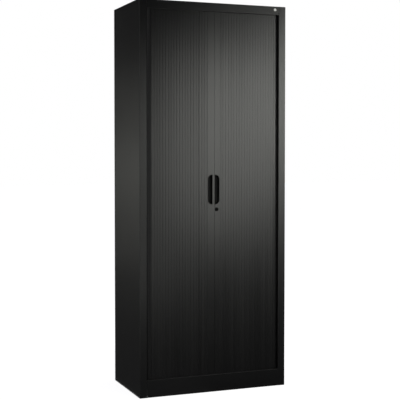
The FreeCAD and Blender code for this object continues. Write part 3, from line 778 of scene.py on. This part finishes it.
def head_outline():
    """Half outline of a pan head: an upright rim, then a dome."""
    outline = [(HEAD_RADIUS, 0), (HEAD_RADIUS, HEAD_HEIGHT * RIM)]
    for step in range(1, DOME_STEPS + 1):
        turn = step / DOME_STEPS * DOME_TURN
        rise = math.sin(turn) / math.sin(DOME_TURN)
        outline.append((HEAD_RADIUS - HEAD_HEIGHT * DOME_REACH * (1 - math.cos(turn)),
                        HEAD_HEIGHT * (RIM + (1 - RIM) * rise)))
    return outline


print("head:", round(2 * HEAD_RADIUS / MM, 2), "mm wide,", len(head_outline()), "outline points")

# %% [markdown]
# ## The cross recess
#
# The recess is cut by a boolean with a tapered cross, which is the shortest way to its four
# sharp inner corners. Two crossed boxes make the cross. The boolean's result is kept as a mesh
# of its own, and the two solids that it came from are thrown away.

# %% Screw head
RECESS_WIDTH = 0.9 * MM
RECESS_REACH = 1.9 * MM
RECESS_DEPTH = 1.1 * MM
RECESS_TAPER = 0.45
RECESS_CLEAR = 0.1 * MM


def tapered_cross():
    """Two crossed boxes that narrow towards the foot of the recess."""
    cross = bmesh.new()
    for spin in (0, math.pi / 2):
        made = bmesh.ops.create_cube(cross, size=1.0)["verts"]
        for vert in made:
            taper = 1.0 if vert.co.z > 0 else RECESS_TAPER
            vert.co = Vector((vert.co.x * 2 * RECESS_REACH * taper,
                              vert.co.y * RECESS_WIDTH * taper,
                              HEAD_HEIGHT + (RECESS_CLEAR if vert.co.z > 0 else -RECESS_DEPTH)))
        bmesh.ops.rotate(cross, verts=made, matrix=Matrix.Rotation(spin, 3, "Z"))
    return cross


def screw_head():
    """Mesh of one pan head with its cross recess, its seat at Z = 0."""
    head = bare_object("head", spun(head_outline(), HEAD_SIDES))
    cutter = bare_object("cross", tapered_cross())
    cut = head.modifiers.new("recess", "BOOLEAN")
    cut.object = cutter
    cut.operation = "DIFFERENCE"
    cut.solver = "EXACT"
    cut.use_self = True
    bpy.context.view_layer.update()
    depsgraph = bpy.context.evaluated_depsgraph_get()
    mesh = bpy.data.meshes.new_from_object(head.evaluated_get(depsgraph))
    for spare in (head, cutter):
        bpy.data.objects.remove(spare)
    return mesh


head_mesh = screw_head()
print("faces of a screw head:", len(head_mesh.polygons))

# %% [markdown]
# ## The screws in their places
#
# One head serves for all the screws, so it is made once and copied. The box round the
# construction's screws gives the two columns and the rows. Each head is turned by an angle
# of its own, because no two screws stop at the same angle when they are driven home.

# %% Screws in place
SCREW_ROWS = 7
SCREW_TURN = math.radians(37)


def screw_places():
    """Middle of each screw head's seat, from the box round all the screws."""
    low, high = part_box("back_screws")
    x = high.x - HEAD_RADIUS
    bottom = low.z + HEAD_RADIUS
    step = (high.z - low.z - 2 * HEAD_RADIUS) / (SCREW_ROWS - 1)
    return [Vector((side * x, high.y - HEAD_HEIGHT, bottom + i * step))
            for side in (-1, 1) for i in range(SCREW_ROWS)]


screws = bmesh.new()
for number, place in enumerate(screw_places()):
    start = len(screws.verts)
    screws.from_mesh(head_mesh)
    screws.verts.ensure_lookup_table()
    turned = Matrix.Rotation(SCREW_TURN * number, 4, "Z")
    stood = Matrix.Translation(place) @ Matrix.Rotation(-math.pi / 2, 4, "X") @ turned
    bmesh.ops.transform(screws, matrix=stood, verts=screws.verts[start:])
screw_heads = mesh_piece("back_screw_heads", screws, 1, "carcass")
dress(screw_heads, zinc_plated_steel)
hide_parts("back_screws")
print("screws:", len(screw_places()))

# %% [markdown]
# ## Soft edges on the construction pieces
#
# No edge of a real piece is perfectly sharp: an extrusion leaves its die with small radii, and
# a tool rounds what it moulds. The folded sheets come from the construction with their round
# folds. A narrow bevel on the leading profiles, the pulls, the lock and the badge gives their
# edges the fine line of light that they have in a room. It is a modifier, so the construction
# mesh itself is left as it is.

# %% Bevels
EDGE = 0.25 * MM
EDGE_STEPS = 2
EDGE_FROM = math.radians(40)
BEVELLED = ("left_lead_profile", "right_lead_profile", "left_finger_pull",
            "right_finger_pull", "lock_barrel", "lock_plug", "lock_hook", "badge")

for name in BEVELLED:
    bevel = frame["nodes"][name].modifiers.new("soft edge", "BEVEL")
    bevel.width = EDGE
    bevel.segments = EDGE_STEPS
    bevel.limit_method = "ANGLE"
    bevel.angle_limit = EDGE_FROM
print("bevelled pieces:", len(BEVELLED))

# %% [markdown]
# ## The floor
#
# The cabinet stands in a white studio. A floor can be white because strong lamps shine on it,
# but they would flood the cabinet as well. So the floor is a pale sheet with a glow of its own
# that only the camera and mirrors see. It keeps the soft shadow under the cabinet.

# %% Floor
FLOOR_REACH = 30.0
FLOOR_COLOUR = (0.82, 0.82, 0.82)
FLOOR_GLOW = 0.91


def seen(wire):
    """1 for a ray from the camera, or one that a mirror or a glass passes on from it."""
    path = wire.node("ShaderNodeLightPath").socket.node
    rays = [Wire(wire.tree, path.outputs[name])
            for name in ("Is Camera Ray", "Is Glossy Ray", "Is Transmission Ray")]
    both = wire.maths("MAXIMUM", rays[0], rays[1])
    return wire.maths("MAXIMUM", both, rays[2])


def floor_material():
    """Pale matt floor that looks white to the camera and in a mirror."""
    material, shader, place = finish("pale_floor", FLOOR_COLOUR, roughness=0.9)
    shader.inputs["Specular IOR Level"].default_value = 0.0
    shader.inputs["Emission Strength"].default_value = FLOOR_GLOW
    connect(shader, {"Emission Color": tint(seen(place), (0, 0, 0), (1, 1, 1))})
    return material


floor_bm = bmesh.new()
bmesh.ops.create_grid(floor_bm, x_segments=1, y_segments=1, size=FLOOR_REACH)
floor = bare_object("floor", floor_bm)
dress(floor, floor_material())
print("floor", 2 * FLOOR_REACH, "m wide")

# %% [markdown]
# ## The room
#
# The room behind is white wherever it is seen, directly or in a mirror. It lights the cabinet
# only weakly and a little blue, so that the lamps do the modelling and what they don't reach
# stays cool.

# %% World
ROOM_LIGHT = (0.115, 0.113, 0.132)

world = bpy.data.worlds.new("white_room")
bpy.context.scene.world = world
world.use_nodes = True
sky = world.node_tree.nodes["Background"]
room = Wire(world.node_tree, sky.outputs["Background"])
connect(sky, {"Color": tint(seen(room), ROOM_LIGHT, (1, 1, 1))})
print("room light", ROOM_LIGHT)

# %% [markdown]
# ## Black cards
#
# A glossy black thing in a white room looks grey, because it mirrors the room. The room could be
# made dark, but then the background would be dark as well. A photographer hangs black cards where
# the camera would see the room in the gloss. Here they make two tents with walls, a roof and a
# cloth on the floor: one in front and on the right, for the doors, and one behind on the left,
# for the side wall. The cloths are black but glow faintly, a very dark grey. The glow is a
# painted reflection of the light that a pale floor throws on the foot of a wall, and there is
# more of it on the left, where the room is open. The camera doesn't see the cards, and they throw
# no shadow: they show in the gloss alone.

# %% Cards
CARD_TOP = 3.6


def card(name, corners, grey=0.0):
    """Flat card seen by the gloss of the cabinet only; grey is the strength of its own glow."""
    bm = bmesh.new()
    bm.faces.new([bm.verts.new(corner) for corner in corners])
    piece = bare_object(name, bm)
    material, shader = finish(name, colour=(0, 0, 0), roughness=0.5)[:2]
    shader.inputs["Specular IOR Level"].default_value = 0.0
    # A card with a grey above 0 glows. On the cloths this is a painted reflection of the floor's
    # light.
    shader.inputs["Emission Color"].default_value = (1, 1, 1, 1)
    shader.inputs["Emission Strength"].default_value = grey
    dress(piece, material)
    piece.visible_camera = False
    piece.visible_diffuse = False
    piece.visible_shadow = False
    piece.visible_transmission = False


def wall(name, start, end):
    """Upright card from one place on the floor to another."""
    (x0, y0), (x1, y1) = start, end
    card(name, ((x0, y0, 0), (x1, y1, 0), (x1, y1, CARD_TOP), (x0, y0, CARD_TOP)))


def sheet(name, x0, x1, y0, y1, z, grey=0.0):
    """Level card between the given limits; grey is the strength of its own glow."""
    card(name, ((x0, y0, z), (x1, y0, z), (x1, y1, z), (x0, y1, z)), grey)


print("cards are", CARD_TOP, "m high")

# %% [markdown]
# ## The two tents
#
# Each tent is set out by the lines where its walls stand. The front tent begins a little left
# of the doors. Beyond that the room stays open, and the coat's broad gloss takes some of its
# light along the left edge of the front. The side tent stands behind the cabinet on the left,
# because that is where the side wall's gloss looks.

# %% Tents
CARD_FRONT = -3.6
CARD_RIGHT = 5.0
CARD_LEFT = -4.5
CARD_BACK = 6.0
FRONT_START = -1.4
SIDE_START = 0.8
SIDE_END = -0.9
CLOTH_LIFT = 2 * MM
# Glow of the cloths, seen only in the gloss: a painted reflection of the floor's light at the
# cabinet's foot.
FRONT_CLOTH_GLOW = 0.08
RIGHT_CLOTH_GLOW = 0.02
SIDE_CLOTH_GLOW = 0.045
front_line = CAD_LOW.y + CLOTH_LIFT
side_line = CAD_LOW.x - CLOTH_LIFT

wall("front_card", (FRONT_START, CARD_FRONT), (CARD_RIGHT, CARD_FRONT))
wall("right_card", (CARD_RIGHT, CARD_FRONT), (CARD_RIGHT, 0))
wall("left_card", (CARD_LEFT, SIDE_START), (CARD_LEFT, CARD_BACK))
wall("rear_card", (CARD_LEFT, CARD_BACK), (SIDE_END, CARD_BACK))
sheet("front_cloth", FRONT_START, 0, CARD_FRONT, front_line, CLOTH_LIFT, FRONT_CLOTH_GLOW)
sheet("right_cloth", 0, CARD_RIGHT, CARD_FRONT, front_line, CLOTH_LIFT, RIGHT_CLOTH_GLOW)
sheet("side_cloth", CARD_LEFT, side_line, front_line, CARD_BACK, CLOTH_LIFT,
      SIDE_CLOTH_GLOW)
sheet("front_roof", FRONT_START, CARD_RIGHT, CARD_FRONT, front_line, CARD_TOP)
sheet("side_roof", CARD_LEFT, side_line, SIDE_START, CARD_BACK, CARD_TOP)

# %% [markdown]
# ## Lamps
#
# One large soft box would lay one even patch of light on the doors. The light here comes from
# a bank of small soft boxes in front and to the right. Its broad highlight lies on the upper
# right of the front and dies away to the left and to the foot. Towards the top it has to end
# sooner than an open box allows. So the high boxes are fitted with grids, which narrow their
# beam, and are tipped down. A second, weak bank stands behind on the left and draws the side
# wall out of the black. Their light is a shade yellow, like that of many studio tubes. Each
# lamp is given by its place and its brightness, from which Blender's power in watts follows:
# radiance times the area times pi.

# %% Soft boxes
FRONT_COLOUR = (0.99, 1.0, 0.945)
SIDE_COLOUR = (0.985, 1.0, 0.915)
OPEN_BEAM = 180


def watts(size, radiance):
    """Power of a rectangular lamp that looks equally bright from everywhere."""
    return radiance * size[0] * size[1] * math.pi


def soft_box(name, place, aim, size, radiance, colour, beam=OPEN_BEAM):
    """Rectangular lamp that points at a place; beam is the angle its grid lets out."""
    data = bpy.data.lights.new(name, "AREA")
    data.shape = "RECTANGLE"
    data.size, data.size_y = size
    data.color = colour
    data.energy = watts(size, radiance)
    data.spread = math.radians(beam)
    lamp = bpy.data.objects.new(name, data)
    lamp.location = place
    lamp.rotation_euler = (Vector(aim) - Vector(place)).to_track_quat("-Z", "Y").to_euler()
    lamp.visible_camera = False
    bpy.context.scene.collection.objects.link(lamp)


print("a soft box of 1 m by 1 m and radiance 1 takes", round(watts((1, 1), 1), 2), "W")

# %% [markdown]
# ## Setting the lamps
#
# The open boxes light the whole front. Each is given by its place across, its height and its
# radiance. The strongest box stands far on the right. A wide grid and an aim above the middle
# keep it off the foot of the doors. The other boxes with grids stand in tiers. A tier is given
# by its height, the height that it aims at, the angle of its beam and its boxes, and each box
# aims a little nearer the middle than it stands. The side bank's boxes, each given by its
# height and its radiance, look level at the middle of the side wall.

# %% Lamps
FRONT_BANK_Y = -1.5
FRONT_BOX = (0.38, 0.42)
AIM_Y = -0.2
OPEN_AIM = (0, AIM_Y, 1.2)
OPEN_BOXES = ((0.00, 0.22, 0.12), (0.00, 0.5, 1.45), (0.00, 1.3, 0.96), (0.35, 0.9, 1.90),
              (0.70, 0.9, 2.82), (1.40, 1.3, 0.28))
RIGHT_PLACE = (1.75, FRONT_BANK_Y, 1.3)
RIGHT_AIM = (0.6, AIM_Y, 1.5)
RIGHT_BEAM = 110
RIGHT_RADIANCE = 5.46
GRID_TIERS = (
    (1.3, 1.0, 70, ((0.35, 0.61), (0.70, 0.55), (1.05, 0.21))),
    (1.7, 1.2, 70, ((0.35, 0.76), (0.70, 1.34), (1.40, 1.91))),
    (2.1, 1.5, 60, ((0.70, 0.35), (1.40, 2.23), (1.75, 2.46))),
)
GRID_AIM_SHARE = 0.7
GRID_AIM_SHIFT = -0.1
SIDE_BANK_X = -1.6
SIDE_BANK_Y = 2.0
SIDE_BOX = (0.8, 0.45)
SIDE_AIM_X = CAD_LOW.x
SIDE_BANK = ((0.20, 0.084), (0.65, 0.525), (1.10, 1.05), (1.55, 0.49))

for x, z, radiance in OPEN_BOXES:
    soft_box("front_box", (x, FRONT_BANK_Y, z), OPEN_AIM, FRONT_BOX, radiance, FRONT_COLOUR)
soft_box("right_box", RIGHT_PLACE, RIGHT_AIM, FRONT_BOX, RIGHT_RADIANCE, FRONT_COLOUR,
         RIGHT_BEAM)
for z, aim_z, beam, boxes in GRID_TIERS:
    for x, radiance in boxes:
        aim = (GRID_AIM_SHARE * x + GRID_AIM_SHIFT, AIM_Y, aim_z)
        soft_box("grid_box", (x, FRONT_BANK_Y, z), aim, FRONT_BOX, radiance, FRONT_COLOUR, beam)
for z, radiance in SIDE_BANK:
    place = (SIDE_BANK_X, SIDE_BANK_Y, z)
    soft_box("side_box", place, (SIDE_AIM_X, 0, z), SIDE_BOX, radiance, SIDE_COLOUR)
print("soft boxes:", len(bpy.data.lights))

# %% [markdown]
# ## Closing
#
# Nothing that is added here may make the cabinet larger.
